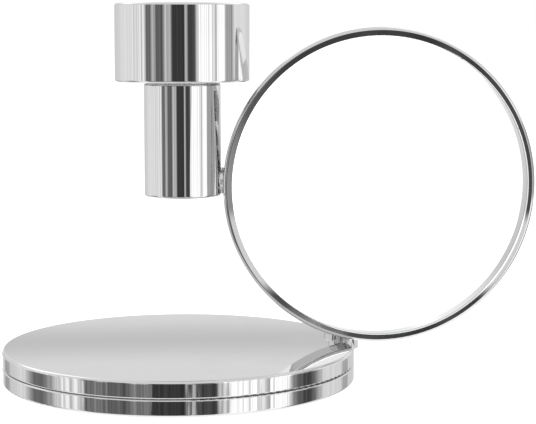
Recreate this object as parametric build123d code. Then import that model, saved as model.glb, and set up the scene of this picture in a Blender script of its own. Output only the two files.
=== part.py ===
from build123d import *
import math
import os

# Sizes are in millimetres. The part stands on Z = 0, +X is right, +Y is away from the viewer.

# Base plates
PLATE_R = 110.4
PLATE_T = 10.3
PLATE_GAP = 0.4
PLATE_EDGE = 1.8
GROOVE_EDGE = 1.0
FOOT_PROUD = 0.8
FOOT_T = 2.0
FOOT_INSET = 12.4
SLIDE_INSET = 2.2
SLIDE_RI = 24.0

# Turntable pivot
PIVOT_R = 6.0
PIVOT_THREAD_R = 5.0
PIVOT_THREAD_L = 7.0
PIVOT_HEAD_R = 11.0
PIVOT_HEAD_T = 2.8
PIVOT_WASHER_R = 12.5
PIVOT_WASHER_T = 1.6
PIVOT_BUSH_R = 8.0
PIVOT_POCKET_R = 14.0
PIVOT_POCKET_D = 6.0

# Upright at the rear right of the upper plate
POST_OUT = 1.6
EAR_R = 12.0
POST_RO = 7.5
POST_RI = 6.0
POST_SEAT = 2.4
TRIM_R = 10.5
TRIM_H = 5.0
POST_PLUG_T = 4.0
POST_SCREW_R = 2.0
POST_SCREW_HEAD_R = 3.6

# Swivel collar and its clamp screw
COLLAR_R = 11.5
COLLAR_LAP = 9.0
COLLAR_ABOVE = 14.0
COLLAR_TO_BEND = 2.0
COLLAR_EDGE = 0.8
CLAMP_R = 2.5
CLAMP_PAD_R = 2.0
CLAMP_PAD_L = 2.0
CLAMP_KNOB_R = 7.0
CLAMP_KNOB_L = 9.0
CLAMP_NECK_L = 4.0

# Bent arm
ARM_RO = 5.5
ARM_RI = 4.0
ARM_BEND = 20.0
ARM_END_R = 4.5
ARM_NUT_R = 7.0
ARM_NUT_T = 5.0
ARM_NUT_TO_WALL = 1.0
ARM_OVER_NUT = 3.0
SLIDE_FOOT_L = 6.0
SLIDE_FOOT_PLUG_L = 10.0
SLIDE_FOOT_REST = 1.0

# Head: wide cap above, narrow stem below
HEAD_X = 3.0
CAP_H = 48.0
CAP_WALL = 2.5
CAP_EDGE = 1.5
CAP_FLOOR_T = 5.0
STEM_R = 24.0
STEM_H = 70.0
STEM_WALL = 4.0
STEM_EDGE = 1.5
STEM_TOP_T = 6.0
STEM_BEHIND = 2.0
SWIVEL_R = 5.0
SWIVEL_HEAD_R = 9.0
SWIVEL_HEAD_T = 5.0
SWIVEL_WASHER_T = 0.8
SWIVEL_WASHER_RO = 23.0
SWIVEL_WASHER_RI = 8.0
SWIVEL_BUSH_R = 7.0
SWIVEL_FLANGE_R = 11.0
SWIVEL_FLANGE_T = 2.0
SWIVEL_SPRING_T = 4.0
SWIVEL_NUT_R = 9.0
SWIVEL_NUT_T = 6.0

# Tilt joint between stem and mirror
BOSS_R = 8.2
BOSS_OUT = 0.4
TILT_R = 5.0
TILT_BUSH_R = 7.0
TILT_INNER = 9.0
TILT_WASHER_T = 0.5
TILT_COLLAR_T = 0.8
TILT_THREAD_R = 4.0
TILT_THREAD_L = 2.0
TILT_ABOVE_CENTRE = 3.5
TILT_DETENT_R = 4.0
TILT_DETENT_L = 6.0
SHOE_R = 2.5
SHOE_L = 4.0
GRUB_R = 3.0
GRUB_L = 6.0
PLUG_T = 24.0
PLUG_INSET = 0.8

# Mirror
MIRROR_R = 99.0
MIRROR_OVER_BASE = 0.7
RING_W = 5.4
RING_DEPTH = 20.2
RING_AHEAD = 11.2
RING_OUTER_EDGE = 2.2
RING_INNER_EDGE = 0.5
GLASS_LIP = 1.6
GLASS_BACK = 5.5
GLASS_T = 4.0
PAD_T = 1.0
COVER_EDGE_T = 1.5
COVER_WALL = 1.5
COVER_DOME = 4.5
COVER_INSET = 0.3
SCREW_R = 0.9
SCREW_HEAD_R = 1.5
SCREW_HEAD_T = 1.0
SCREW_L = 6.0
SCREW_COUNT = 3

# Clearances
RUN_FIT = 0.05
FACE_GAP = 0.05
FREE_GAP = 0.3
STEM_TO_RING = 0.5
POCKET_FIT = 0.1

# Levels and places that follow from the sizes above
FOOT_R = PLATE_R - FOOT_INSET
SLIDE_RO = PLATE_R - SLIDE_INSET
LOWER_Z0 = FOOT_PROUD
LOWER_Z1 = LOWER_Z0 + PLATE_T
UPPER_Z0 = LOWER_Z1 + PLATE_GAP
UPPER_Z1 = UPPER_Z0 + PLATE_T
MIRROR_Z = UPPER_Z1 + MIRROR_OVER_BASE + MIRROR_R
TILT_Z = MIRROR_Z + TILT_ABOVE_CENTRE
STEM_Z0 = TILT_Z - BOSS_R - PLUG_INSET
STEM_Z1 = STEM_Z0 + STEM_H
CAP_Z0 = STEM_Z1 + SWIVEL_WASHER_T + FACE_GAP
CAP_Z1 = CAP_Z0 + CAP_H
STEM_RI = STEM_R - STEM_WALL
RING_LEFT = HEAD_X + STEM_R + STEM_TO_RING
MIRROR_X = RING_LEFT + MIRROR_R
ARM_Y = STEM_R + STEM_BEHIND + ARM_RO
CAP_RI = ARM_Y + ARM_NUT_R + ARM_NUT_TO_WALL
CAP_R = CAP_RI + CAP_WALL
ARM_Z = MIRROR_Z
POST_ORBIT = PLATE_R + POST_OUT
POST_X = math.sqrt(POST_ORBIT ** 2 - ARM_Y ** 2)
POST_TOP = ARM_Z - ARM_BEND - COLLAR_TO_BEND - COLLAR_ABOVE
POST_Z0 = UPPER_Z0 + POST_SEAT
SLIDE_FOOT_Z0 = POST_Z0 + POST_PLUG_T + SLIDE_FOOT_REST
ARM_Z0 = SLIDE_FOOT_Z0 + SLIDE_FOOT_L
COLLAR_Z1 = POST_TOP + COLLAR_ABOVE
CLAMP_Z = POST_TOP + COLLAR_ABOVE / 2
FLOOR_Z1 = CAP_Z0 + CAP_FLOOR_T
RING_BACK = RING_DEPTH - RING_AHEAD
GLASS_Y = GLASS_BACK - RING_AHEAD
TILT_X0 = HEAD_X - TILT_INNER
BOSS_X1 = HEAD_X + STEM_R + BOSS_OUT
TILT_COLLAR_X0 = BOSS_X1 + TILT_WASHER_T + FACE_GAP
TILT_COLLAR_X1 = TILT_COLLAR_X0 + TILT_COLLAR_T


def rod(radius, z0, z1, x=0.0, y=0.0):
    """Upright cylinder."""
    return Pos(x, y, (z0 + z1) / 2) * Cylinder(radius, z1 - z0)


def ring(outer, inner, z0, z1, x=0.0, y=0.0):
    """Upright cylinder with a through bore."""
    return rod(outer, z0, z1, x, y) - rod(inner, z0, z1, x, y)


def rod_x(radius, x0, x1, y, z):
    """Cylinder along X."""
    return Pos((x0 + x1) / 2, y, z) * Rot(0, 90, 0) * Cylinder(radius, x1 - x0)


def rod_y(radius, y0, y1, x, z):
    """Cylinder along Y."""
    return Pos(x, (y0 + y1) / 2, z) * Rot(90, 0, 0) * Cylinder(radius, y1 - y0)


def hex_nut(radius, bore, z0, z1, x=0.0, y=0.0):
    """Hexagon nut, radius over the corners."""
    outline = RegularPolygon(radius, 6) - Circle(bore)
    return Pos(x, y, z0) * extrude(outline, z1 - z0)


def round_edges(solid, radius, edge):
    """Round the circular edges of one radius."""
    chosen = [e for e in solid.edges().filter_by(GeomType.CIRCLE) if abs(e.radius - radius) < 1e-4]
    return fillet(chosen, edge)


def round_plate(outer_z, groove_z):
    """Plate blank, with a larger rounding at its outer face than at the groove."""
    plate = rod(PLATE_R, min(outer_z, groove_z), max(outer_z, groove_z))
    rims = plate.edges().filter_by(GeomType.CIRCLE)
    plate = fillet([e for e in rims if abs(e.center().Z - outer_z) < 1e-4], PLATE_EDGE)
    rims = plate.edges().filter_by(GeomType.CIRCLE)
    return fillet([e for e in rims if abs(e.center().Z - groove_z) < 1e-4], GROOVE_EDGE)


def lower_plate():
    plate = round_plate(LOWER_Z0, LOWER_Z1)
    plate -= rod(FOOT_R, LOWER_Z0, FOOT_T)
    plate -= rod(PIVOT_POCKET_R, LOWER_Z0, LOWER_Z0 + PIVOT_POCKET_D)
    return plate - rod(PIVOT_BUSH_R, LOWER_Z0, LOWER_Z1)


def upper_plate():
    plate = round_plate(UPPER_Z1, UPPER_Z0)
    plate += rod(EAR_R, UPPER_Z0, UPPER_Z1, POST_X, ARM_Y)
    plate -= rod(PIVOT_THREAD_R, UPPER_Z0, UPPER_Z0 + PIVOT_THREAD_L)
    plate -= rod(POST_RO, POST_Z0, UPPER_Z1, POST_X, ARM_Y)
    plate -= rod(POST_SCREW_R, UPPER_Z0, POST_Z0, POST_X, ARM_Y)
    return plate - post_screw_head()


def post_screw_head():
    depth = POST_SCREW_HEAD_R - POST_SCREW_R
    cone = Cone(POST_SCREW_HEAD_R, POST_SCREW_R, depth)
    return Pos(POST_X, ARM_Y, UPPER_Z0 + depth / 2) * cone


def pivot_bolt():
    washer_z1 = LOWER_Z0 + PIVOT_POCKET_D - FACE_GAP
    head_z1 = washer_z1 - PIVOT_WASHER_T
    bolt = rod(PIVOT_R, head_z1, UPPER_Z0)
    bolt += rod(PIVOT_HEAD_R, head_z1 - PIVOT_HEAD_T, head_z1)
    return bolt + rod(PIVOT_THREAD_R, UPPER_Z0, UPPER_Z0 + PIVOT_THREAD_L)


def post_trim():
    trim = ring(TRIM_R, POST_RO, UPPER_Z1, UPPER_Z1 + TRIM_H, POST_X, ARM_Y)
    return round_edges(trim, TRIM_R, COLLAR_EDGE)


def post_plug():
    plug = rod(POST_RI, POST_Z0, POST_Z0 + POST_PLUG_T, POST_X, ARM_Y)
    return plug - rod(POST_SCREW_R, POST_Z0, POST_Z0 + POST_PLUG_T, POST_X, ARM_Y)


def post_screw():
    screw = rod(POST_SCREW_R, UPPER_Z0, POST_Z0 + POST_PLUG_T, POST_X, ARM_Y)
    return screw + post_screw_head()


def clamp_hole(radius, y1):
    return rod_y(radius, ARM_Y, y1, POST_X, CLAMP_Z)


def clamp_collar():
    collar = rod(COLLAR_R, POST_TOP - COLLAR_LAP, COLLAR_Z1, POST_X, ARM_Y)
    collar = round_edges(collar, COLLAR_R, COLLAR_EDGE)
    collar -= rod(POST_RO + RUN_FIT, POST_TOP - COLLAR_LAP, POST_TOP + FACE_GAP, POST_X, ARM_Y)
    collar -= rod(POST_RO, POST_TOP, COLLAR_Z1, POST_X, ARM_Y)
    return collar - clamp_hole(CLAMP_R + RUN_FIT, ARM_Y + 2 * COLLAR_R)


def guide_bush():
    bush = ring(POST_RO, ARM_RO + RUN_FIT, POST_TOP + FACE_GAP, COLLAR_Z1, POST_X, ARM_Y)
    return bush - clamp_hole(CLAMP_PAD_R, ARM_Y + 2 * COLLAR_R)


def clamp_pad():
    y0 = ARM_Y + ARM_RO + FREE_GAP
    return rod_y(CLAMP_PAD_R, y0, y0 + CLAMP_PAD_L, POST_X, CLAMP_Z)


def clamp_screw():
    y0 = ARM_Y + ARM_RO + FREE_GAP + CLAMP_PAD_L + FACE_GAP
    knob_y0 = ARM_Y + COLLAR_R + CLAMP_NECK_L
    knob_y1 = knob_y0 + CLAMP_KNOB_L
    knob = round_edges(rod_y(CLAMP_KNOB_R, knob_y0, knob_y1, POST_X, CLAMP_Z), CLAMP_KNOB_R, COLLAR_EDGE)
    return knob + rod_y(CLAMP_R, y0, knob_y0, POST_X, CLAMP_Z)


def arm_tube():
    corner_a = (POST_X, ARM_Y, ARM_Z)
    corner_b = (HEAD_X, ARM_Y, ARM_Z)
    path = FilletPolyline((POST_X, ARM_Y, ARM_Z0), corner_a, corner_b, (HEAD_X, ARM_Y, CAP_Z0), radius=ARM_BEND)
    section = Plane(origin=path @ 0, z_dir=path % 0) * (Circle(ARM_RO) - Circle(ARM_RI))
    tube = sweep(section, path=path)
    end_z1 = FLOOR_Z1 + ARM_NUT_T + ARM_OVER_NUT
    return tube + ring(ARM_END_R, ARM_RI, CAP_Z0, end_z1, HEAD_X, ARM_Y)


def slide_foot():
    foot = rod(POST_RI - RUN_FIT, SLIDE_FOOT_Z0, ARM_Z0, POST_X, ARM_Y)
    return foot + rod(ARM_RI, ARM_Z0, ARM_Z0 + SLIDE_FOOT_PLUG_L, POST_X, ARM_Y)


def head_cap():
    cap = round_edges(rod(CAP_R, CAP_Z0, CAP_Z1, HEAD_X), CAP_R, CAP_EDGE)
    return cap - rod(CAP_RI, CAP_Z0, CAP_Z1 - CAP_WALL, HEAD_X)


def cap_floor():
    floor = rod(CAP_RI, CAP_Z0, FLOOR_Z1, HEAD_X)
    floor -= rod(SWIVEL_BUSH_R, CAP_Z0, FLOOR_Z1, HEAD_X)
    return floor - rod(ARM_END_R, CAP_Z0, FLOOR_Z1, HEAD_X, ARM_Y)


def swivel_bush():
    bush = ring(SWIVEL_BUSH_R, SWIVEL_R + RUN_FIT, CAP_Z0, FLOOR_Z1, HEAD_X)
    flange_z1 = FLOOR_Z1 + SWIVEL_FLANGE_T
    return bush + ring(SWIVEL_FLANGE_R, SWIVEL_R + RUN_FIT, FLOOR_Z1, flange_z1, HEAD_X)


def swivel_spring():
    z0 = FLOOR_Z1 + SWIVEL_FLANGE_T + FACE_GAP
    return ring(SWIVEL_FLANGE_R, SWIVEL_R, z0, z0 + SWIVEL_SPRING_T, HEAD_X)


def swivel_bolt():
    head_z0 = FLOOR_Z1 + SWIVEL_FLANGE_T + FACE_GAP + SWIVEL_SPRING_T
    nut_z0 = STEM_Z1 - STEM_TOP_T - SWIVEL_NUT_T
    bolt = rod(SWIVEL_R, nut_z0, head_z0, HEAD_X)
    head = Pos(HEAD_X, 0, head_z0) * extrude(RegularPolygon(SWIVEL_HEAD_R, 6), SWIVEL_HEAD_T)
    return bolt + head


def swivel_nut():
    nut_z1 = STEM_Z1 - STEM_TOP_T
    return hex_nut(SWIVEL_NUT_R, SWIVEL_R, nut_z1 - SWIVEL_NUT_T, nut_z1, HEAD_X)


def head_stem():
    stem = round_edges(rod(STEM_R, STEM_Z0, STEM_Z1, HEAD_X), STEM_R, STEM_EDGE)
    stem += rod_x(BOSS_R, HEAD_X + STEM_RI, BOSS_X1, 0, TILT_Z)
    stem -= rod(STEM_RI, STEM_Z0, STEM_Z1 - STEM_TOP_T, HEAD_X)
    stem -= rod(SWIVEL_R, STEM_Z1 - STEM_TOP_T, STEM_Z1, HEAD_X)
    return stem - rod_x(TILT_BUSH_R, HEAD_X, BOSS_X1, 0, TILT_Z)


def stem_plug():
    z0 = STEM_Z0 + PLUG_INSET
    plug = rod(STEM_RI, z0, z0 + PLUG_T, HEAD_X)
    plug -= rod_x(TILT_BUSH_R, TILT_X0, HEAD_X + STEM_RI, 0, TILT_Z)
    return plug - rod(GRUB_R, TILT_Z, z0 + PLUG_T, HEAD_X)


def tilt_bush():
    bush = rod_x(TILT_BUSH_R, TILT_X0, BOSS_X1, 0, TILT_Z)
    bush -= rod_x(TILT_R + RUN_FIT, TILT_X0, BOSS_X1, 0, TILT_Z)
    return bush - rod(SHOE_R, TILT_Z, TILT_Z + TILT_BUSH_R, HEAD_X)


def friction_shoe():
    z0 = TILT_Z + TILT_DETENT_R + RUN_FIT
    return rod(SHOE_R, z0, z0 + SHOE_L, HEAD_X)


def tilt_grub_screw():
    z0 = TILT_Z + TILT_DETENT_R + RUN_FIT + SHOE_L
    return rod(GRUB_R, z0, z0 + GRUB_L, HEAD_X)


def tilt_washer():
    washer = rod_x(BOSS_R, BOSS_X1, BOSS_X1 + TILT_WASHER_T, 0, TILT_Z)
    return washer - rod_x(TILT_R + RUN_FIT, BOSS_X1, BOSS_X1 + TILT_WASHER_T, 0, TILT_Z)


def tilt_shaft():
    shaft = rod_x(TILT_R, TILT_X0, TILT_COLLAR_X0, 0, TILT_Z)
    neck0 = HEAD_X - TILT_DETENT_L / 2
    neck1 = HEAD_X + TILT_DETENT_L / 2
    shaft -= rod_x(TILT_R, neck0, neck1, 0, TILT_Z) - rod_x(TILT_DETENT_R, neck0, neck1, 0, TILT_Z)
    shaft += rod_x(BOSS_R, TILT_COLLAR_X0, TILT_COLLAR_X1, 0, TILT_Z)
    return shaft + rod_x(TILT_THREAD_R, TILT_COLLAR_X1, TILT_COLLAR_X1 + TILT_THREAD_L, 0, TILT_Z)


def about_mirror_axis(edges):
    """Turn a radius-depth outline about the mirror's own axis."""
    return Pos(MIRROR_X, 0, MIRROR_Z) * revolve(make_face(edges), Axis.Y)


def ring_front(inner):
    """Flat front of the ring between a small inner and a larger outer rounding."""
    flat_0 = inner + RING_INNER_EDGE
    flat_1 = MIRROR_R - RING_OUTER_EDGE
    into = (-RING_AHEAD + RING_INNER_EDGE, -RING_AHEAD)
    away = (-RING_AHEAD, -RING_AHEAD + RING_OUTER_EDGE)
    return [
        RadiusArc((inner, into[0]), (flat_0, into[1]), -RING_INNER_EDGE),
        Line((flat_0, into[1]), (flat_1, away[0])),
        RadiusArc((flat_1, away[0]), (MIRROR_R, away[1]), -RING_OUTER_EDGE),
    ]


def mirror_frame():
    inner = MIRROR_R - RING_W
    seat = inner + GLASS_LIP
    walls = [
        Line((MIRROR_R, -RING_AHEAD + RING_OUTER_EDGE), (MIRROR_R, RING_BACK)),
        Line((MIRROR_R, RING_BACK), (seat, RING_BACK)),
        Line((seat, RING_BACK), (seat, GLASS_Y)),
        Line((seat, GLASS_Y), (inner, GLASS_Y)),
        Line((inner, GLASS_Y), (inner, -RING_AHEAD + RING_INNER_EDGE)),
    ]
    frame = about_mirror_axis(walls + ring_front(inner))
    frame -= rod_x(BOSS_R + POCKET_FIT, RING_LEFT - 1, TILT_COLLAR_X1, 0, TILT_Z)
    frame -= rod_x(TILT_THREAD_R, RING_LEFT - 1, TILT_COLLAR_X1 + TILT_THREAD_L, 0, TILT_Z)
    return frame - cover_screws()


def mirror_disc(y0, thickness):
    radius = MIRROR_R - RING_W + GLASS_LIP - POCKET_FIT
    return rod_y(radius, y0, y0 + thickness, MIRROR_X, MIRROR_Z)


def dome(radius, rim_y, top_y):
    """Shallow dome over a flat disc."""
    middle = (radius / 2, rim_y + (top_y - rim_y) * 0.75)
    arc = ThreePointArc((0, top_y), middle, (radius, rim_y))
    return about_mirror_axis([arc, Line((radius, rim_y), (0, rim_y)), Line((0, rim_y), (0, top_y))])


def back_cover():
    spigot = MIRROR_R - RING_W + GLASS_LIP - POCKET_FIT
    pad_y = GLASS_Y + GLASS_T + PAD_T
    rim_y = RING_BACK + COVER_EDGE_T
    inner_y = rim_y - COVER_WALL
    cover = rod_y(spigot, pad_y, RING_BACK, MIRROR_X, MIRROR_Z)
    cover += rod_y(MIRROR_R - COVER_INSET, RING_BACK, rim_y, MIRROR_X, MIRROR_Z)
    cover += dome(spigot, rim_y, rim_y + COVER_DOME)
    cover -= rod_y(spigot - COVER_WALL, pad_y, inner_y, MIRROR_X, MIRROR_Z)
    cover -= dome(spigot - COVER_WALL, inner_y, inner_y + COVER_DOME)
    return cover - cover_screws()


def cover_screws():
    screws = Part()
    orbit = MIRROR_R - (RING_W - GLASS_LIP) / 2
    back = RING_BACK + COVER_EDGE_T
    for n in range(SCREW_COUNT):
        angle = math.radians(90 + n * 360 / SCREW_COUNT)
        x = MIRROR_X + orbit * math.cos(angle)
        z = MIRROR_Z + orbit * math.sin(angle)
        screws += rod_y(SCREW_R, back - SCREW_L, back, x, z) + rod_y(SCREW_HEAD_R, back - SCREW_HEAD_T, back, x, z)
    return screws


def parts():
    washer_z1 = LOWER_Z0 + PIVOT_POCKET_D - FACE_GAP
    nut_z1 = FLOOR_Z1 + ARM_NUT_T
    return {
        "foot_pad": rod(FOOT_R, 0, FOOT_T),
        "lower_plate": lower_plate(),
        "slide_disc": ring(SLIDE_RO, SLIDE_RI, LOWER_Z1, UPPER_Z0 - FACE_GAP),
        "pivot_bush": ring(PIVOT_BUSH_R, PIVOT_R + RUN_FIT, LOWER_Z0 + PIVOT_POCKET_D, LOWER_Z1),
        "upper_plate": upper_plate(),
        "pivot_bolt": pivot_bolt(),
        "pivot_washer": ring(PIVOT_WASHER_R, PIVOT_R, washer_z1 - PIVOT_WASHER_T, washer_z1),
        "post_tube": ring(POST_RO, POST_RI, POST_Z0, POST_TOP, POST_X, ARM_Y),
        "post_trim": post_trim(),
        "post_plug": post_plug(),
        "post_screw": post_screw(),
        "clamp_collar": clamp_collar(),
        "guide_bush": guide_bush(),
        "clamp_pad": clamp_pad(),
        "clamp_screw": clamp_screw(),
        "arm_tube": arm_tube(),
        "slide_foot": slide_foot(),
        "arm_nut": hex_nut(ARM_NUT_R, ARM_END_R, FLOOR_Z1, nut_z1, HEAD_X, ARM_Y),
        "head_cap": head_cap(),
        "cap_floor": cap_floor(),
        "swivel_bush": swivel_bush(),
        "swivel_washer": ring(SWIVEL_WASHER_RO, SWIVEL_WASHER_RI, STEM_Z1, STEM_Z1 + SWIVEL_WASHER_T, HEAD_X),
        "swivel_spring": swivel_spring(),
        "swivel_bolt": swivel_bolt(),
        "swivel_nut": swivel_nut(),
        "head_stem": head_stem(),
        "stem_plug": stem_plug(),
        "tilt_bush": tilt_bush(),
        "friction_shoe": friction_shoe(),
        "tilt_grub_screw": tilt_grub_screw(),
        "tilt_washer": tilt_washer(),
        "tilt_shaft": tilt_shaft(),
        "mirror_frame": mirror_frame(),
        "mirror_glass": mirror_disc(GLASS_Y, GLASS_T),
        "backing_pad": mirror_disc(GLASS_Y + GLASS_T, PAD_T),
        "back_cover": back_cover(),
        "cover_screws": cover_screws(),
    }


os.makedirs("parts", exist_ok=True)
for name, shape in parts().items():
    export_step(shape, "parts/" + name + ".step")
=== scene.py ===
import math
import bpy
from mathutils import Matrix, Vector


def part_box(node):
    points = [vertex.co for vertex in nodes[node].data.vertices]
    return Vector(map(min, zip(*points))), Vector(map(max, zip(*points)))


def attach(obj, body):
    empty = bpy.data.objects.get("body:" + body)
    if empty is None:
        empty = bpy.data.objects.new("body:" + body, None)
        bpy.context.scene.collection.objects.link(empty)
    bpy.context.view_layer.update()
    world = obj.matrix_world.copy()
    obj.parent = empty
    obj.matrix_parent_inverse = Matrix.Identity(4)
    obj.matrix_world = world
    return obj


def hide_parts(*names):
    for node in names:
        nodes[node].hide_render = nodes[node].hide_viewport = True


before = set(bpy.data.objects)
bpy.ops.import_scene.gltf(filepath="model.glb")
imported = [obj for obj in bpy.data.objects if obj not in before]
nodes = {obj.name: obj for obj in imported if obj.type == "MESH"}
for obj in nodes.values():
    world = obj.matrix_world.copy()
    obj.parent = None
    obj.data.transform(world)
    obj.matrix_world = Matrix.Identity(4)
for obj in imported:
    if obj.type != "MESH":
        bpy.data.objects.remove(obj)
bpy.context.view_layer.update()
scene = bpy.context.scene
scene.view_settings.view_transform = "Standard"


# Camera, at the photograph's place: its own height, a little to the left of the mirror's front
PHOTO_WIDTH = 536
FOCAL_PIXELS = 1613.3
SENSOR_WIDTH = 36.0
CAMERA_PLACE = (-0.05557, -1.00184, 0.21786)
CAMERA_DOWN = math.radians(6.397)
CAMERA_RIGHT = math.radians(6.383)


def make_camera():
    data = bpy.data.cameras.new("photo_camera")
    data.sensor_width = SENSOR_WIDTH
    data.lens = SENSOR_WIDTH * FOCAL_PIXELS / PHOTO_WIDTH
    camera = bpy.data.objects.new("photo_camera", data)
    camera.location = CAMERA_PLACE
    camera.rotation_euler = (math.pi / 2 - CAMERA_DOWN, 0.0, -CAMERA_RIGHT)
    scene.collection.objects.link(camera)
    scene.camera = camera


# Small helpers
def middle(name):
    low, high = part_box(name)
    return (low + high) / 2


def clear_selection():
    bpy.ops.object.select_all(action="DESELECT")


def grey(value):
    return (value, value, value, 1.0)


# Small helpers for node trees
def add(tree, kind, **settings):
    node = tree.nodes.new(kind)
    for name, value in settings.items():
        setattr(node, name, value)
    return node


def link(tree, value, socket):
    """Join an output to a socket, or set the socket to a plain value."""
    if isinstance(value, bpy.types.NodeSocket):
        tree.links.new(value, socket)
    else:
        socket.default_value = value


def link_all(tree, values, sockets):
    for value, socket in zip(values, sockets):
        link(tree, value, socket)


def split_vector(tree, vector):
    node = add(tree, "ShaderNodeSeparateXYZ")
    link(tree, vector, node.inputs[0])
    return node.outputs


def join_vector(tree, *values):
    node = add(tree, "ShaderNodeCombineXYZ")
    link_all(tree, values, node.inputs)
    return node.outputs[0]


def reckon(tree, operation, *values):
    node = add(tree, "ShaderNodeMath", operation=operation)
    link_all(tree, values, node.inputs)
    return node.outputs[0]


def smooth_step(tree, value, low, high, to_low=0.0, to_high=1.0):
    node = add(tree, "ShaderNodeMapRange", interpolation_type="SMOOTHSTEP", clamp=True)
    link_all(tree, (value, low, high, to_low, to_high), node.inputs)
    return node.outputs[0]


def between(tree, value, low, high, soft):
    """One inside a span, nought outside, with soft ends."""
    into = smooth_step(tree, value, low - soft, low + soft)
    return reckon(tree, "MULTIPLY", into, smooth_step(tree, value, high - soft, high + soft, 1.0, 0.0))


def blend_grey(tree, share, first, second):
    node = add(tree, "ShaderNodeMix", data_type="FLOAT")
    link_all(tree, (share, first, second), (node.inputs[0], *node.inputs[2:4]))
    return node.outputs[0]


def blend_vector(tree, share, first, second):
    node = add(tree, "ShaderNodeMix", data_type="VECTOR")
    link_all(tree, (share, first, second), (node.inputs[0], *node.inputs[4:6]))
    return node.outputs[1]


def blend_colour(tree, share, first, second):
    node = add(tree, "ShaderNodeMix", data_type="RGBA")
    link_all(tree, (share, first, second), (node.inputs[0], *node.inputs[6:8]))
    return node.outputs[2]


def speckle(tree, place, scale, detail=2.0, rough=0.5):
    node = add(tree, "ShaderNodeTexNoise")
    link(tree, place, node.inputs["Vector"])
    for name, value in (("Scale", scale), ("Detail", detail), ("Roughness", rough)):
        link(tree, value, node.inputs[name])
    return node.outputs["Fac"]


def ramp(tree, value, stops):
    """Grey ramp through (place, grey) stops."""
    node = add(tree, "ShaderNodeValToRGB")
    points = node.color_ramp.elements
    while len(points) < len(stops):
        points.new(0.5)
    for point, (place, level) in zip(points, stops):
        point.position = place
        point.color = grey(level)
    link(tree, value, node.inputs[0])
    return node.outputs[0]


# Studio light: a white tent with upright dark flags and bright strips round the front, which only
# polished metal sees. Turns are in degrees to the right of the front, heights in degrees over level.
TENT_WALL = 0.98
# Cards, each from one turn to the next, with its level
TENT_CARDS = (
    (-66, -58, 0.18), (-55, -51, 0.70), (-48, -36, 0.15), (-33, -24, 0.66),
    (-20, -0.2, 0.055), (1.6, 4.0, 0.56), (5.8, 17, 0.08), (20, 23, 0.74),
    (25, 49, 1.43), (51, 56, 0.82), (58, 70, 1.43), (77, 91, 0.47))
FIRST_CARD_SOFT = 2
LAST_CARD_SOFT = 3
# Fine streaks in the cards, fainter towards the back
STREAK_SCALE = 0.30
STREAK_ROUGH = 0.6
STREAK_CUT = (0.30, 0.70)
STREAK_LEVELS = (0.62, 1.30)
STREAK_FADE = (75.0, 110.0)
STREAK_AT_BACK = 0.2
# Low down the cards waver, as things on a table do. Those before the mirror stand further right,
# and those left of it are dim.
LOW_HEIGHTS = (-11.0, -9.0)
WAVER_SCALE = 0.16
WAVER_TURN = 16.0
MOVED_CARDS = (1.0, 48.0, 3.0)
MOVED_TURN = 3.5
DIM_CARDS = (-60.0, -3.0, 2.0)
DIM_LIMIT = 0.26
# Low flags, by degrees away from their own middle
LOW_FLAGS = (
    (0, 1.0), (76, 1.0), (86, 0.38), (92, 0.18), (101, 0.20), (108, 0.60),
    (112, 0.95), (134, 0.90), (138, 0.55), (146, 0.55), (150, 0.95), (180, 0.95))
LOW_FLAGS_MIDDLE = -8.0
LOW_FLAGS_HEIGHTS = (-12.0, -9.5)
# Towards the back the tent is a little greyer, up to the white backdrop
TENT_BACK = 0.78
TENT_BACK_TURNS = (115.0, 155.0)
BACKDROP = 1.25
BACKDROP_TURNS = (160.0, 168.0)
# The bright edge of the table before the mirror, which shows low in its ring
TABLE_EDGE = 0.86
TABLE_EDGE_HEIGHTS = (-9.1, -6.5, 0.3)
TABLE_EDGE_TURNS = (3.8, 17.6, 0.8)
# The wall behind has a soft darker line, which the top of the base mirrors
WALL_ABOVE = 0.83
WALL_HEIGHTS = (6.0, 9.0)
WALL_TURNS = (140.0, 155.0)
WALL_LINE = 0.63
WALL_LINE_HEIGHT = 10.9
WALL_LINE_SOFT = 0.9
# Top, floor, and two soft boxes high at the back
TENT_TOP = 0.86
TENT_TOP_HEIGHTS = (9.0, 22.0)
TENT_FLOOR = 1.20
TENT_FLOOR_HEIGHTS = (-50.0, -28.0)
SOFTBOX = 1.45
SOFTBOX_TURNS = (112.0, 165.0, 4.0)
SOFTBOX_HEIGHTS = (27.0, 58.0, 4.0)
# Polished faces look into each other here, so light is followed further than usual
GLOSSY_BOUNCES = 12


def turn_share(turn):
    """Where a turn lies on a ramp that goes once round from the back."""
    return (turn + 180) / 360


def card_stops():
    first, last = TENT_CARDS[0][0] - FIRST_CARD_SOFT, TENT_CARDS[-1][1] + LAST_CARD_SOFT
    stops = [(0.0, TENT_WALL), (turn_share(first), TENT_WALL)]
    for start, stop, level in TENT_CARDS:
        stops += [(turn_share(start), level), (turn_share(stop), level)]
    return stops + [(turn_share(last), TENT_WALL), (1.0, TENT_WALL)]


def upright_cards(tree, side, height):
    low = smooth_step(tree, height, *LOW_HEIGHTS, 1.0, 0.0)
    noise = speckle(tree, join_vector(tree, side, height), WAVER_SCALE, 3.0, 0.6)
    further = reckon(tree, "MULTIPLY", between(tree, side, *MOVED_CARDS), -MOVED_TURN)
    waver = reckon(tree, "MULTIPLY_ADD", reckon(tree, "SUBTRACT", noise, 0.5), WAVER_TURN, further)
    shifted = reckon(tree, "MULTIPLY_ADD", waver, low, side)
    cards = ramp(tree, reckon(tree, "MULTIPLY_ADD", shifted, 1 / 360, 0.5), card_stops())
    dim = reckon(tree, "MULTIPLY", low, between(tree, side, *DIM_CARDS))
    return blend_grey(tree, dim, cards, reckon(tree, "MINIMUM", cards, DIM_LIMIT))


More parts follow.
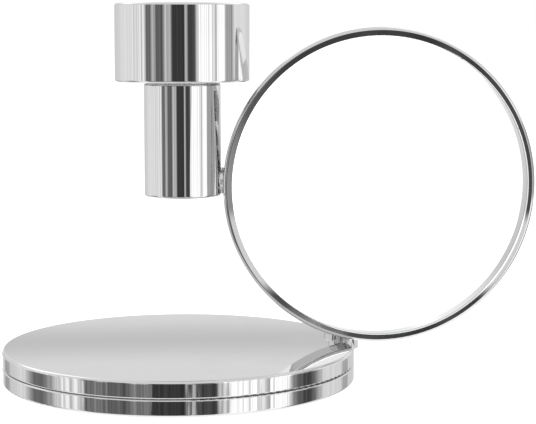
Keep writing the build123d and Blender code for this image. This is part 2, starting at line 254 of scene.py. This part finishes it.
def card_streaks(tree, side, away):
    noise = add(tree, "ShaderNodeTexNoise", noise_dimensions="1D")
    link(tree, side, noise.inputs["W"])
    for name, value in (("Scale", STREAK_SCALE), ("Detail", 2.0), ("Roughness", STREAK_ROUGH)):
        link(tree, value, noise.inputs[name])
    streak = smooth_step(tree, noise.outputs["Fac"], *STREAK_CUT, *STREAK_LEVELS)
    faint = reckon(tree, "MULTIPLY_ADD", streak, STREAK_AT_BACK, 1 - STREAK_AT_BACK)
    return blend_grey(tree, smooth_step(tree, away, *STREAK_FADE), streak, faint)


def low_flags(tree, side, height):
    from_middle = reckon(tree, "ABSOLUTE", reckon(tree, "SUBTRACT", side, LOW_FLAGS_MIDDLE))
    stops = [(turned / 180, level) for turned, level in LOW_FLAGS]
    flags = ramp(tree, reckon(tree, "DIVIDE", from_middle, 180.0), stops)
    return blend_grey(tree, smooth_step(tree, height, *LOW_FLAGS_HEIGHTS), flags, 1.0)


def wall_behind(tree, height):
    from_line = reckon(tree, "ABSOLUTE", reckon(tree, "SUBTRACT", height, WALL_LINE_HEIGHT))
    return blend_grey(tree, smooth_step(tree, from_line, 0.0, WALL_LINE_SOFT), WALL_LINE, WALL_ABOVE)


def tent_light(tree, side, height):
    away = reckon(tree, "ABSOLUTE", side)
    tent = upright_cards(tree, side, height)
    tent = reckon(tree, "MULTIPLY", tent, card_streaks(tree, side, away))
    tent = reckon(tree, "MULTIPLY", tent, low_flags(tree, side, height))
    tent = reckon(tree, "MULTIPLY", tent, smooth_step(tree, away, *TENT_BACK_TURNS, 1.0, TENT_BACK))
    tent = blend_grey(tree, smooth_step(tree, away, *BACKDROP_TURNS), tent, BACKDROP)
    edge = reckon(tree, "MULTIPLY", between(tree, height, *TABLE_EDGE_HEIGHTS),
                  between(tree, side, *TABLE_EDGE_TURNS))
    tent = blend_grey(tree, edge, tent, TABLE_EDGE)
    behind = reckon(tree, "MULTIPLY", smooth_step(tree, away, *WALL_TURNS),
                    smooth_step(tree, height, *WALL_HEIGHTS))
    tent = blend_grey(tree, behind, tent, wall_behind(tree, height))
    tent = blend_grey(tree, smooth_step(tree, height, *TENT_TOP_HEIGHTS), tent, TENT_TOP)
    tent = blend_grey(tree, smooth_step(tree, height, *TENT_FLOOR_HEIGHTS), TENT_FLOOR, tent)
    boxes = reckon(tree, "MULTIPLY", between(tree, away, *SOFTBOX_TURNS),
                   between(tree, height, *SOFTBOX_HEIGHTS))
    return blend_grey(tree, boxes, tent, SOFTBOX)


def make_studio():
    world = bpy.data.worlds.new("studio")
    world.use_nodes = True
    scene.world = world
    tree = world.node_tree
    tree.nodes.clear()
    x, y, z = split_vector(tree, add(tree, "ShaderNodeTexCoord").outputs["Generated"])
    turned = reckon(tree, "ARCTAN2", x, reckon(tree, "MULTIPLY", y, -1.0))
    side = reckon(tree, "MULTIPLY", turned, 180 / math.pi)
    height = reckon(tree, "MULTIPLY", reckon(tree, "ARCSINE", z), 180 / math.pi)
    tent = tent_light(tree, side, height)
    seen_by_metal = add(tree, "ShaderNodeLightPath").outputs["Is Glossy Ray"]
    background = add(tree, "ShaderNodeBackground")
    link(tree, blend_grey(tree, seen_by_metal, 1.0, tent), background.inputs["Color"])
    out = add(tree, "ShaderNodeOutputWorld")
    link(tree, background.outputs[0], out.inputs["Surface"])
    scene.cycles.glossy_bounces = GLOSSY_BOUNCES


# Close by are a round white light before the mirror, which the glass shows and the ring round it does
# not, and a grey card at the right, which the ring's rounded edge and the stem show
REFLECTOR_AHEAD = 0.15
REFLECTOR_LEVEL = 2.7
REFLECTOR_SPREAD = math.radians(52)
GLASS_LIP = 0.0015
SIDE_CARD_OFF = (0.070, -0.024)
SIDE_CARD_TURN = math.radians(62)
SIDE_CARD_SIZE = (0.147, 0.090)
SIDE_CARD_RISE = 0.018
SIDE_CARD_LEVEL = 0.46
SIDE_CARD_SOFT = 0.14
FLOOR_SIZE = 60.0
FLOOR_WHITE = 0.9
FLOOR_LEVEL = 0.6


def visible_radius():
    """Radius of the glass that shows inside the ring."""
    low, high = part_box("mirror_glass")
    return (high.x - low.x) / 2 - GLASS_LIP


def make_reflector():
    """Round light with a grid before it, so that it shows only from nearly straight ahead."""
    low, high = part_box("mirror_glass")
    glass = middle("mirror_glass")
    eye = Vector(CAMERA_PLACE)
    share = REFLECTOR_AHEAD / (low.y - eye.y)
    to_glass = glass - eye
    radius = visible_radius() * (1 + share)
    half_spread = REFLECTOR_SPREAD / 2
    grid_gain = math.tan(half_spread) / (math.tan(half_spread) - half_spread)
    data = bpy.data.lights.new("reflector", "AREA")
    data.shape = "DISK"
    data.size = 2 * radius
    data.spread = REFLECTOR_SPREAD
    data.energy = REFLECTOR_LEVEL * (math.pi * radius) ** 2 / grid_gain
    reflector = bpy.data.objects.new("reflector", data)
    reflector.location = (glass.x + to_glass.x * share, low.y - REFLECTOR_AHEAD,
                          glass.z + to_glass.z * share)
    reflector.rotation_euler = (math.pi / 2, 0.0, 0.0)
    reflector.visible_camera = False
    scene.collection.objects.link(reflector)


def glowing(name, base, glow):
    """Dull white material that gives light of its own."""
    material = bpy.data.materials.new(name)
    material.use_nodes = True
    shader = material.node_tree.nodes["Principled BSDF"]
    shader.inputs["Base Color"].default_value = grey(base)
    shader.inputs["Roughness"].default_value = 1.0
    shader.inputs["Specular IOR Level"].default_value = 0.0
    shader.inputs["Emission Color"].default_value = grey(1.0)
    shader.inputs["Emission Strength"].default_value = glow
    return material


def soften_edges(material):
    """Let a plane of unit size fade out towards its edges."""
    tree = material.node_tree
    place = split_vector(tree, add(tree, "ShaderNodeTexCoord").outputs["Object"])
    across, along = (reckon(tree, "ABSOLUTE", value) for value in place[:2])
    out = reckon(tree, "MAXIMUM", across, along)
    fade = smooth_step(tree, out, 0.5 - SIDE_CARD_SOFT, 0.5, 1.0, 0.0)
    link(tree, fade, tree.nodes["Principled BSDF"].inputs["Alpha"])


def make_side_card():
    low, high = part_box("mirror_frame")
    across, ahead = SIDE_CARD_OFF
    centre = (high.x + across, low.y + ahead, (low.z + high.z) / 2 + SIDE_CARD_RISE)
    clear_selection()
    bpy.ops.mesh.primitive_plane_add(
        size=1.0, location=centre, rotation=(math.pi / 2, 0.0, SIDE_CARD_TURN))
    card = bpy.context.object
    card.name = "side_card"
    card.scale = (*SIDE_CARD_SIZE, 1.0)
    material = glowing("grey_card", 0.0, SIDE_CARD_LEVEL)
    soften_edges(material)
    card.data.materials.append(material)
    card.visible_camera = card.visible_diffuse = card.visible_shadow = False


def make_floor():
    clear_selection()
    bpy.ops.mesh.primitive_plane_add(size=FLOOR_SIZE)
    floor = bpy.context.object
    floor.name = "floor"
    floor.data.materials.append(glowing("white_floor", FLOOR_WHITE, FLOOR_LEVEL))
    floor.visible_glossy = False


# Shared effects, each a node group
NUMBER = "NodeSocketFloat"
VECTOR = "NodeSocketVector"
HAZE_CUT = (0.50, 0.74)
HAIR_TURN = (0.5, 0.35, 0.8)
HAIR_STRETCH = (1.0, 0.06, 1.0)
HAIR_CUT = (0.64, 0.70)
DUST_UPWARD = (0.6, 0.95)
DUST_GRAIN_SCALE = 700.0
DUST_GRAIN_CUT = (0.62, 0.74)
DUST_DRIFT_SCALE = 14.0
DUST_DRIFT_CUT = (0.42, 0.70)
SKIN_AGREES = 0.8
SKIN_SLACK = 0.0002
ON_AXIS = 1e-6


def new_group(name, inputs, outputs, kind_out=NUMBER):
    tree = bpy.data.node_groups.new(name, "ShaderNodeTree")
    for label, kind, value in inputs:
        socket = tree.interface.new_socket(label, in_out="INPUT", socket_type=kind)
        if value is not None:
            socket.default_value = value
    for label in outputs:
        tree.interface.new_socket(label, in_out="OUTPUT", socket_type=kind_out)
    return tree, add(tree, "NodeGroupInput").outputs, add(tree, "NodeGroupOutput").inputs


def make_wipe_marks():
    """Soft cloth marks and thin hairlines that polishing leaves on bright metal."""
    tree, given, result = new_group(
        "wipe_marks",
        (("Place", VECTOR, None), ("Patch Scale", NUMBER, 22.0), ("Hair Scale", NUMBER, 260.0)),
        ("Haze", "Hairlines"))
    patches = speckle(tree, given["Place"], given["Patch Scale"], 3.0, 0.55)
    link(tree, smooth_step(tree, patches, *HAZE_CUT), result["Haze"])
    stretch = add(tree, "ShaderNodeMapping")
    link(tree, given["Place"], stretch.inputs["Vector"])
    stretch.inputs["Rotation"].default_value = HAIR_TURN
    stretch.inputs["Scale"].default_value = HAIR_STRETCH
    hairs = speckle(tree, stretch.outputs[0], given["Hair Scale"], 1.0, 0.5)
    link(tree, smooth_step(tree, hairs, *HAIR_CUT), result["Hairlines"])
    return tree


def from_axis(tree, x, y):
    return reckon(tree, "SQRT", reckon(tree, "MULTIPLY_ADD", x, x, reckon(tree, "MULTIPLY", y, y)))


def make_lathe_lines():
    """Fine lines round the Z axis of the given place, as turning and buffing leave them."""
    tree, given, result = new_group(
        "lathe_lines",
        (("Place", VECTOR, None), ("Line Scale", NUMBER, 900.0)),
        ("Lines", "Reach"))
    x, y, z = split_vector(tree, given["Place"])
    reach = from_axis(tree, x, y)
    across = join_vector(tree, reach, z)
    link(tree, speckle(tree, across, given["Line Scale"], 2.0, 0.6), result["Lines"])
    link(tree, reach, result["Reach"])
    return tree


def make_settled_dust():
    """Thin dust on faces that look up."""
    tree, given, result = new_group(
        "settled_dust",
        (("Place", VECTOR, None), ("Amount", NUMBER, 0.3)),
        ("Dust",))
    normal = split_vector(tree, add(tree, "ShaderNodeNewGeometry").outputs["Normal"])
    upward = smooth_step(tree, normal[2], *DUST_UPWARD)
    grains = speckle(tree, given["Place"], DUST_GRAIN_SCALE, 2.0, 0.6)
    drift = speckle(tree, given["Place"], DUST_DRIFT_SCALE, 3.0, 0.5)
    fallen = reckon(tree, "MULTIPLY", smooth_step(tree, grains, *DUST_GRAIN_CUT),
                    smooth_step(tree, drift, *DUST_DRIFT_CUT))
    dust = reckon(tree, "MULTIPLY", upward, fallen)
    link(tree, reckon(tree, "MULTIPLY", dust, given["Amount"]), result["Dust"])
    return tree


def make_turned_skin():
    """True normal of a turned piece with rounded edges, wherever its face is that outer skin."""
    tree, given, result = new_group(
        "turned_skin",
        (("Place", VECTOR, None), ("Own Normal", VECTOR, None), ("Radius", NUMBER, 0.1),
         ("Low", NUMBER, 0.0), ("High", NUMBER, 0.1),
         ("Low Edge", NUMBER, 0.001), ("High Edge", NUMBER, 0.001)),
        ("Normal",), VECTOR)
    x, y, z = split_vector(tree, given["Place"])
    reach = from_axis(tree, x, y)
    half = reckon(tree, "MULTIPLY", reckon(tree, "ADD", given["Low"], given["High"]), 0.5)
    upper = reckon(tree, "GREATER_THAN", z, half)
    edge = blend_grey(tree, upper, given["Low Edge"], given["High Edge"])

    def past(value, start):
        over = reckon(tree, "MAXIMUM", reckon(tree, "SUBTRACT", value, start), 0.0)
        return reckon(tree, "MINIMUM", over, edge)

    across = past(reach, reckon(tree, "SUBTRACT", given["Radius"], edge))
    rise = past(z, reckon(tree, "SUBTRACT", given["High"], edge))
    drop = past(reckon(tree, "ADD", given["Low"], edge), z)
    share = reckon(tree, "DIVIDE", across, reckon(tree, "MAXIMUM", reach, ON_AXIS))
    arrow = join_vector(tree, reckon(tree, "MULTIPLY", x, share), reckon(tree, "MULTIPLY", y, share),
                        reckon(tree, "SUBTRACT", rise, drop))
    skin = add(tree, "ShaderNodeVectorMath", operation="NORMALIZE")
    link(tree, arrow, skin.inputs[0])
    agree = add(tree, "ShaderNodeVectorMath", operation="DOT_PRODUCT")
    link_all(tree, (skin.outputs[0], given["Own Normal"]), agree.inputs)
    limit = reckon(tree, "ADD", given["Radius"], SKIN_SLACK)
    on_skin = reckon(tree, "MULTIPLY",
                     reckon(tree, "GREATER_THAN", agree.outputs["Value"], SKIN_AGREES),
                     reckon(tree, "LESS_THAN", reach, limit))
    link(tree, blend_vector(tree, on_skin, given["Own Normal"], skin.outputs[0]), result["Normal"])
    return tree


wipe_marks = make_wipe_marks()
lathe_lines = make_lathe_lines()
settled_dust = make_settled_dust()
turned_skin = make_turned_skin()


# Materials
ORIGIN = (0.0, 0.0, 0.0)
CHROME = 0.72
CHROME_HAZED = 0.69
CHROME_ROUGH = 0.010
CHROME_ROUGH_HAZED = 0.045
CHROME_RELIEF = 0.000004
CHROME_INSIDE = 0.46
INSIDE_ROUGH = 0.10
INSIDE_SOFT = 0.0004
HAIRLINE_RELIEF = -0.5
DUST_AMOUNT = 0.25
DUST_GREY = 0.72
DUST_ROUGH = 0.5
SPUN_ANISOTROPY = 0.75
METAL_RELIEF = 0.00002


class Finish:
    """A new material with its shader and the object's own coordinates, centred and turned as asked."""

    def __init__(self, name, centre=ORIGIN, turn=ORIGIN):
        self.material = bpy.data.materials.new(name)
        self.material.use_nodes = True
        self.tree = self.material.node_tree
        self.shader = self.tree.nodes["Principled BSDF"]
        self.turn = turn
        self.coordinates = add(self.tree, "ShaderNodeTexCoord").outputs
        self.place = self.turned(self.coordinates["Object"], "TEXTURE", centre)

    def turned(self, vector, kind, centre=ORIGIN):
        mapping = add(self.tree, "ShaderNodeMapping", vector_type=kind)
        if kind == "TEXTURE":
            mapping.inputs["Location"].default_value = centre
        mapping.inputs["Rotation"].default_value = self.turn
        link(self.tree, vector, mapping.inputs["Vector"])
        return mapping.outputs[0]

    def group(self, tree, **values):
        node = add(self.tree, "ShaderNodeGroup", node_tree=tree)
        link(self.tree, self.place, node.inputs["Place"])
        for name, value in values.items():
            link(self.tree, value, node.inputs[name.replace("_", " ")])
        return node.outputs

    def set(self, **values):
        for name, value in values.items():
            link(self.tree, value, self.shader.inputs[name.replace("_", " ")])

    def skin_normal(self, **sizes):
        own = self.turned(self.coordinates["Normal"], "TEXTURE")
        skin = self.turned(self.group(turned_skin, Own_Normal=own, **sizes)["Normal"], "VECTOR")
        node = add(self.tree, "ShaderNodeVectorTransform",
                   vector_type="NORMAL", convert_from="OBJECT", convert_to="WORLD")
        link(self.tree, skin, node.inputs[0])
        return node.outputs[0]

    def bump(self, height, distance, strength=1.0, normal=None):
        node = add(self.tree, "ShaderNodeBump")
        node.inputs["Strength"].default_value = strength
        node.inputs["Distance"].default_value = distance
        link(self.tree, height, node.inputs["Height"])
        if normal:
            link(self.tree, normal, node.inputs["Normal"])
        link(self.tree, node.outputs[0], self.shader.inputs["Normal"])


def chrome(name, centre=ORIGIN, turn=ORIGIN, skin=None, inside=None):
    """Bright chrome over a turned and buffed piece: wipe marks in the gloss, hairlines, a little dust
    on top. skin gives a turned piece's sizes. Nearer to the axis than inside, where no buff reaches,
    it is duller."""
    finish = Finish(name, centre, turn)
    tree = finish.tree
    marks = finish.group(wipe_marks)
    turned = finish.group(lathe_lines)
    settled = finish.group(settled_dust, Amount=DUST_AMOUNT)["Dust"]
    plated = blend_colour(tree, marks["Haze"], grey(CHROME), grey(CHROME_HAZED))
    rough = blend_grey(tree, marks["Haze"], CHROME_ROUGH, CHROME_ROUGH_HAZED)
    if inside:
        unbuffed = smooth_step(tree, turned["Reach"], inside, inside + INSIDE_SOFT, 1.0, 0.0)
        plated = blend_colour(tree, unbuffed, plated, grey(CHROME_INSIDE))
        rough = blend_grey(tree, unbuffed, rough, INSIDE_ROUGH)
    finish.set(
        Base_Color=blend_colour(tree, settled, plated, grey(DUST_GREY)),
        Roughness=reckon(tree, "ADD", rough, reckon(tree, "MULTIPLY", settled, DUST_ROUGH)),
        Metallic=reckon(tree, "SUBTRACT", 1.0, settled))
    relief = reckon(tree, "MULTIPLY_ADD", marks["Hairlines"], HAIRLINE_RELIEF, turned["Lines"])
    finish.bump(relief, CHROME_RELIEF, 0.25, finish.skin_normal(**skin) if skin else None)
    return finish.material


def spun_chrome(name, centre, turn):
    """Satin chrome of the spun back: strong fine rings round its middle."""
    finish = Finish(name, centre, turn)
    tree = finish.tree
    lines = finish.group(lathe_lines, Line_Scale=1500.0)["Lines"]
    marks = finish.group(wipe_marks, Patch_Scale=15.0)
    rough = reckon(tree, "MULTIPLY_ADD", lines, 0.10, 0.16)
    finish.set(
        Base_Color=blend_colour(tree, lines, grey(0.58), grey(0.68)),
        Roughness=blend_grey(tree, marks["Haze"], rough, 0.30))
    finish.shader.inputs["Metallic"].default_value = 1.0
    finish.shader.inputs["Anisotropic"].default_value = SPUN_ANISOTROPY
    round_axis = add(tree, "ShaderNodeTangent", direction_type="RADIAL", axis="Y")
    link(tree, round_axis.outputs[0], finish.shader.inputs["Tangent"])
    finish.bump(lines, METAL_RELIEF, 0.5)
    return finish.material


def zinc_steel():
    finish = Finish("zinc_steel")
    tree = finish.tree
    clouds = speckle(tree, finish.place, 160.0, 4.0, 0.6)
    grains = speckle(tree, finish.place, 1400.0, 2.0, 0.5)
    finish.set(
        Base_Color=blend_colour(tree, clouds, (0.50, 0.51, 0.54, 1.0), (0.64, 0.63, 0.60, 1.0)),
        Roughness=reckon(tree, "MULTIPLY_ADD", grains, 0.22, 0.22))
    finish.shader.inputs["Metallic"].default_value = 1.0
    finish.bump(grains, METAL_RELIEF, 0.4)
    return finish.material


def turned_brass():
    finish = Finish("turned_brass")
    tree = finish.tree
    lines = finish.group(lathe_lines, Line_Scale=2500.0)["Lines"]
    finish.set(
        Base_Color=blend_colour(tree, lines, (0.60, 0.42, 0.16, 1.0), (0.80, 0.62, 0.30, 1.0)),
        Roughness=reckon(tree, "MULTIPLY_ADD", lines, 0.2, 0.2))
    finish.shader.inputs["Metallic"].default_value = 1.0
    finish.bump(lines, METAL_RELIEF, 0.4)
    return finish.material


def dull_finish(name, dark, light, patch, grain, rough, depth):
    """Nylon, rubber, fibre and felt: two shades in soft patches, and a grain that dulls the gloss."""
    finish = Finish(name)
    tree = finish.tree
    patches = speckle(tree, finish.place, patch, 3.0, 0.6)
    grains = speckle(tree, finish.place, grain, 3.0, 0.65)
    shade = reckon(tree, "MULTIPLY_ADD", grains, 0.5, reckon(tree, "MULTIPLY", patches, 0.5))
    finish.set(
        Base_Color=blend_colour(tree, shade, dark, light),
        Roughness=reckon(tree, "MULTIPLY_ADD", grains, 0.2, rough))
    finish.bump(grains, depth, 0.6)
    return finish.material


def silvered_glass():
    """Mirror glass: silver behind clear float glass, with faint wipe marks."""
    finish = Finish("silvered_glass")
    tree = finish.tree
    marks = finish.group(wipe_marks, Patch_Scale=12.0, Hair_Scale=500.0)
    finish.set(
        Base_Color=blend_colour(tree, marks["Haze"], grey(0.93), (0.90, 0.92, 0.91, 1.0)),
        Roughness=blend_grey(tree, marks["Haze"], 0.002, 0.010))
    finish.shader.inputs["Metallic"].default_value = 1.0
    return finish.material


# Finishes on the CAD nodes
LAID_BACK = (math.pi / 2, 0.0, 0.0)
PLATE_EDGE = 0.0018
GROOVE_EDGE = 0.0010
HEAD_EDGE = 0.0015
RING_EDGE = 0.0022
SHARP_EDGE = 0.0002
STEEL_NODES = (
    "pivot_bolt pivot_washer post_plug post_screw arm_nut cap_floor swivel_spring swivel_bolt "
    "swivel_nut tilt_grub_screw cover_screws stem_plug")
NYLON_NODES = (
    "slide_disc pivot_bush guide_bush clamp_pad slide_foot swivel_bush swivel_washer tilt_bush")
# Dark and light shade, patch and grain scale, roughness and depth of grain
NYLON = ((0.64, 0.64, 0.62, 1.0), (0.80, 0.80, 0.79, 1.0), 60.0, 900.0, 0.32, 0.00002)
RUBBER = (grey(0.016), grey(0.05), 40.0, 1200.0, 0.62, 0.00006)
FIBRE = (grey(0.50), grey(0.68), 200.0, 1600.0, 0.6, 0.00004)
FELT = (grey(0.06), grey(0.16), 50.0, 1800.0, 0.75, 0.0002)


def upright_axis(name):
    spot = middle(name)
    return (spot.x, spot.y, 0.0)


def upright_skin(name, low_edge, high_edge, round_name=None):
    """Sizes of an upright turned piece, with its radius from a node that is round all over."""
    low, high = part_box(name)
    round_low, round_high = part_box(round_name or name)
    return {"Radius": (round_high.y - round_low.y) / 2, "Low": low.z, "High": high.z,
            "Low_Edge": low_edge, "High_Edge": high_edge}


def ring_skin():
    low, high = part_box("mirror_frame")
    face = middle("mirror_glass")
    return {"Radius": (high.z - low.z) / 2, "Low": face.y - high.y, "High": face.y - low.y,
            "Low_Edge": SHARP_EDGE, "High_Edge": RING_EDGE}


def make_finishes():
    """Every finish, with the nodes that it goes on."""
    face = tuple(middle("mirror_glass"))
    head = upright_axis("head_stem")
    post = upright_axis("post_tube")
    lower_skin = upright_skin("lower_plate", PLATE_EDGE, GROOVE_EDGE)
    upper_skin = upright_skin("upper_plate", GROOVE_EDGE, PLATE_EDGE, "lower_plate")
    cap_skin = upright_skin("head_cap", HEAD_EDGE, HEAD_EDGE)
    stem_skin = upright_skin("head_stem", HEAD_EDGE, HEAD_EDGE)
    return (
        (chrome("lower_plate_chrome", skin=lower_skin), "lower_plate"),
        (chrome("upper_plate_chrome", skin=upper_skin), "upper_plate"),
        (chrome("cap_chrome", head, skin=cap_skin), "head_cap"),
        (chrome("stem_chrome", head, skin=stem_skin), "head_stem"),
        (chrome("ring_chrome", face, LAID_BACK, ring_skin(), visible_radius()), "mirror_frame"),
        (chrome("post_chrome", post), "post_tube post_trim clamp_collar"),
        (chrome("arm_chrome", post), "arm_tube clamp_screw tilt_shaft"),
        (spun_chrome("spun_back_chrome", face, LAID_BACK), "back_cover"),
        (silvered_glass(), "mirror_glass"),
        (zinc_steel(), STEEL_NODES),
        (turned_brass(), "friction_shoe"),
        (dull_finish("natural_nylon", *NYLON), NYLON_NODES),
        (dull_finish("foot_rubber", *RUBBER), "foot_pad"),
        (dull_finish("pressed_fibre", *FIBRE), "tilt_washer"),
        (dull_finish("grey_felt", *FELT), "backing_pad"))


def dress_nodes():
    finishes = {}
    for material, names in make_finishes():
        finishes[material.name] = material
        for name in names.split():
            for slot in nodes[name].material_slots:
                slot.material = material
    return finishes


# Pieces modelled over the plain solids
KNOB_GRIP = 0.009
KNOB_FLUTES = 18
KNOB_FLUTE_DEPTH = 0.90
KNOB_FLUTE_SHARE = 0.1
KNOB_EDGE = 0.0006
KNOB_FACE_RIM = 0.0014
KNOB_FACE_SUNK = 0.0005
KNOB_NECK_RIM = 0.0032
KNOB_NECK_TAPER = 0.0004
KNOB_NECK_H = 0.0006
SHANK_R = 0.0025
SHANK_EDGE = 0.0004
SHANK_GAP = 0.0001
SCREW_HEAD_R = 0.0015
SCREW_HEAD_T = 0.001
SCREW_DOME = 0.00045
SCREW_DOME_STEPS = ((0.30, 0.55), (0.30, 0.30), (0.30, 0.15))
SCREW_SLOT_W = 0.0004
SCREW_SLOT_D = 0.0007
SCREW_COUNT = 3
PAD_SIDES = 160
PAD_GROOVE_W = 0.003
PAD_GROOVE_D = 0.0009
PAD_LAND_W = 0.0125
PAD_GROOVES = 5
ROUND_SIDES = 32
SMOOTH_BELOW = math.radians(35)
NEAR = 1e-5
FLAT = 0.99
AXIS_TURNS = {"X": (0.0, math.pi / 2, 0.0), "Y": (math.pi / 2, 0.0, 0.0), "Z": ORIGIN}


def new_cylinder(name, sides, radius, low, high, axis="Z", at=ORIGIN):
    """Cylinder from low to high along an axis, with its place in its mesh."""
    clear_selection()
    where = list(at)
    where["XYZ".index(axis)] = (low + high) / 2
    bpy.ops.mesh.primitive_cylinder_add(
        vertices=sides, radius=radius, depth=high - low, location=where, rotation=AXIS_TURNS[axis])
    piece = bpy.context.object
    piece.name = name
    bpy.ops.object.transform_apply(location=True, rotation=True, scale=True)
    return piece


def pick(piece, mode, test):
    """Go into edit mode with only the parts chosen that pass the test."""
    bpy.context.view_layer.objects.active = piece
    if piece.mode != "OBJECT":
        bpy.ops.object.mode_set(mode="OBJECT")
    bpy.ops.object.mode_set(mode="EDIT")
    bpy.ops.mesh.select_mode(type=mode)
    bpy.ops.mesh.select_all(action="DESELECT")
    bpy.ops.object.mode_set(mode="OBJECT")
    mesh = piece.data
    parts = {"VERT": mesh.vertices, "EDGE": mesh.edges, "FACE": mesh.polygons}[mode]
    for part in parts:
        part.select = test(part)
    bpy.ops.object.mode_set(mode="EDIT")


def edge_ends(piece, edge):
    return [piece.data.vertices[index].co for index in edge.vertices]


def is_cap(face, facing):
    """Whether a face is the flat end of a round piece, by its normal's share along the axis."""
    return facing > FLAT and len(face.vertices) > 8


def finish_piece(piece, body, material):
    bpy.context.view_layer.objects.active = piece
    if piece.mode != "OBJECT":
        bpy.ops.object.mode_set(mode="OBJECT")
    clear_selection()
    piece.select_set(True)
    bpy.ops.object.shade_smooth_by_angle(angle=SMOOTH_BELOW)
    clear_selection()
    piece.data.materials.clear()
    piece.data.materials.append(material)
    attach(piece, body)


def in_flute(arm):
    """Whether a point of the grip lies at the bottom of a flute."""
    turned = math.atan2(arm.z, arm.x) * KNOB_FLUTES / (2 * math.pi)
    return abs(turned - round(turned)) < KNOB_FLUTE_SHARE


def knob_grip(centre, radius, grip_low, grip_high):
    knob = new_cylinder("clamp_knob", KNOB_FLUTES * 4, radius, grip_low, grip_high, "Y", centre)
    pick(knob, "VERT", lambda v: in_flute(v.co - centre))
    bpy.ops.transform.resize(
        value=(KNOB_FLUTE_DEPTH, 1.0, KNOB_FLUTE_DEPTH), center_override=centre)
    pick(knob, "EDGE", lambda e: abs(edge_ends(knob, e)[0].y - edge_ends(knob, e)[1].y) < NEAR)
    bpy.ops.mesh.bevel(offset=KNOB_EDGE, segments=3, profile=0.5, affect="EDGES")
    pick(knob, "FACE", lambda f: is_cap(f, f.normal.y))
    bpy.ops.mesh.inset(thickness=KNOB_FACE_RIM, depth=0.0)
    bpy.ops.mesh.inset(thickness=KNOB_FACE_SUNK, depth=-KNOB_FACE_SUNK)
    pick(knob, "FACE", lambda f: is_cap(f, -f.normal.y))
    bpy.ops.mesh.inset(thickness=KNOB_NECK_RIM, depth=0.0)
    bpy.ops.mesh.inset(thickness=KNOB_NECK_TAPER, depth=KNOB_NECK_H)
    bpy.ops.object.mode_set(mode="OBJECT")
    return knob


def knob_shank(centre, low, high):
    shank = new_cylinder("clamp_shank", ROUND_SIDES, SHANK_R, low, high, "Y", centre)
    pick(shank, "EDGE", lambda e: all(abs(co.y - low) < NEAR for co in edge_ends(shank, e)))
    bpy.ops.mesh.bevel(offset=SHANK_EDGE, segments=2, affect="EDGES")
    bpy.ops.object.mode_set(mode="OBJECT")
    return shank


def fluted_knob(material):
    """Clamp knob with a fluted grip, a sunk face and a tapered neck down to its screw."""
    low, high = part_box("clamp_screw")
    centre = (low + high) / 2
    grip_low = high.y - KNOB_GRIP
    knob = knob_grip(centre, (high.x - low.x) / 2, grip_low, high.y)
    shank = knob_shank(centre, low.y, grip_low - SHANK_GAP)
    clear_selection()
    shank.select_set(True)
    knob.select_set(True)
    bpy.context.view_layer.objects.active = knob
    bpy.ops.object.join()
    finish_piece(knob, "clamp", material)
    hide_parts("clamp_screw")


def slotted_screw(spot):
    """Domed screw head with a sawn slot, seated in the rim of the back cover."""
    back = spot.y
    screw = new_cylinder(
        "cover_screw_1", ROUND_SIDES, SCREW_HEAD_R, back - SCREW_HEAD_T, back, "Y", spot)
    pick(screw, "FACE", lambda f: f.normal.y > FLAT)
    for share, rise in SCREW_DOME_STEPS:
        bpy.ops.mesh.inset(thickness=SCREW_HEAD_R * share, depth=SCREW_DOME * rise)
    bpy.ops.object.mode_set(mode="OBJECT")
    clear_selection()
    bpy.ops.mesh.primitive_cube_add(size=1.0, location=(spot.x, back + SCREW_DOME, spot.z))
    saw = bpy.context.object
    bpy.ops.transform.resize(value=(3 * SCREW_HEAD_R, 2 * SCREW_SLOT_D, SCREW_SLOT_W))
    bpy.ops.object.transform_apply(location=True, rotation=True, scale=True)
    clear_selection()
    bpy.context.view_layer.objects.active = screw
    cut = screw.modifiers.new("slot", "BOOLEAN")
    cut.operation = "DIFFERENCE"
    cut.solver = "EXACT"
    cut.object = saw
    bpy.ops.object.modifier_apply(modifier="slot")
    bpy.data.objects.remove(saw, do_unlink=True)
    return screw


def copy_round_face(piece, name, face, angle):
    """Copy with its own mesh, turned about the mirror's axis."""
    copy = piece.copy()
    copy.data = piece.data.copy()
    copy.name = name
    scene.collection.objects.link(copy)
    turn = Matrix.Translation(face) @ Matrix.Rotation(angle, 4, "Y") @ Matrix.Translation(-face)
    copy.data.transform(turn)
    return copy


def back_cover_screws(material):
    low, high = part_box("cover_screws")
    face = middle("mirror_glass")
    first = slotted_screw(Vector((face.x, high.y, high.z - SCREW_HEAD_R)))
    screws = [first]
    for number in range(1, SCREW_COUNT):
        angle = number * 2 * math.pi / SCREW_COUNT
        screws.append(copy_round_face(first, "cover_screw_%d" % (number + 1), face, angle))
    for screw in screws:
        finish_piece(screw, "mirror", material)
        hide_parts("cover_screws")


def grooved_foot_pad(material):
    """Rubber pad with rings sunk into its underside."""
    low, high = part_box("foot_pad")
    pad = new_cylinder("grooved_foot_pad", PAD_SIDES, (high.x - low.x) / 2, low.z, high.z)
    for _ in range(PAD_GROOVES):
        pick(pad, "FACE", lambda f: is_cap(f, -f.normal.z))
        bpy.ops.mesh.inset(thickness=PAD_LAND_W)
        bpy.ops.mesh.inset(thickness=PAD_GROOVE_W / 3, depth=-PAD_GROOVE_D)
        bpy.ops.mesh.inset(thickness=PAD_GROOVE_W / 3)
        bpy.ops.mesh.inset(thickness=PAD_GROOVE_W / 3, depth=PAD_GROOVE_D)
    bpy.ops.object.mode_set(mode="OBJECT")
    finish_piece(pad, "base", material)
    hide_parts("foot_pad")


make_camera()
make_studio()
make_reflector()
make_side_card()
make_floor()
finishes = dress_nodes()
fluted_knob(finishes["arm_chrome"])
back_cover_screws(finishes["zinc_steel"])
grooved_foot_pad(finishes["foot_rubber"])
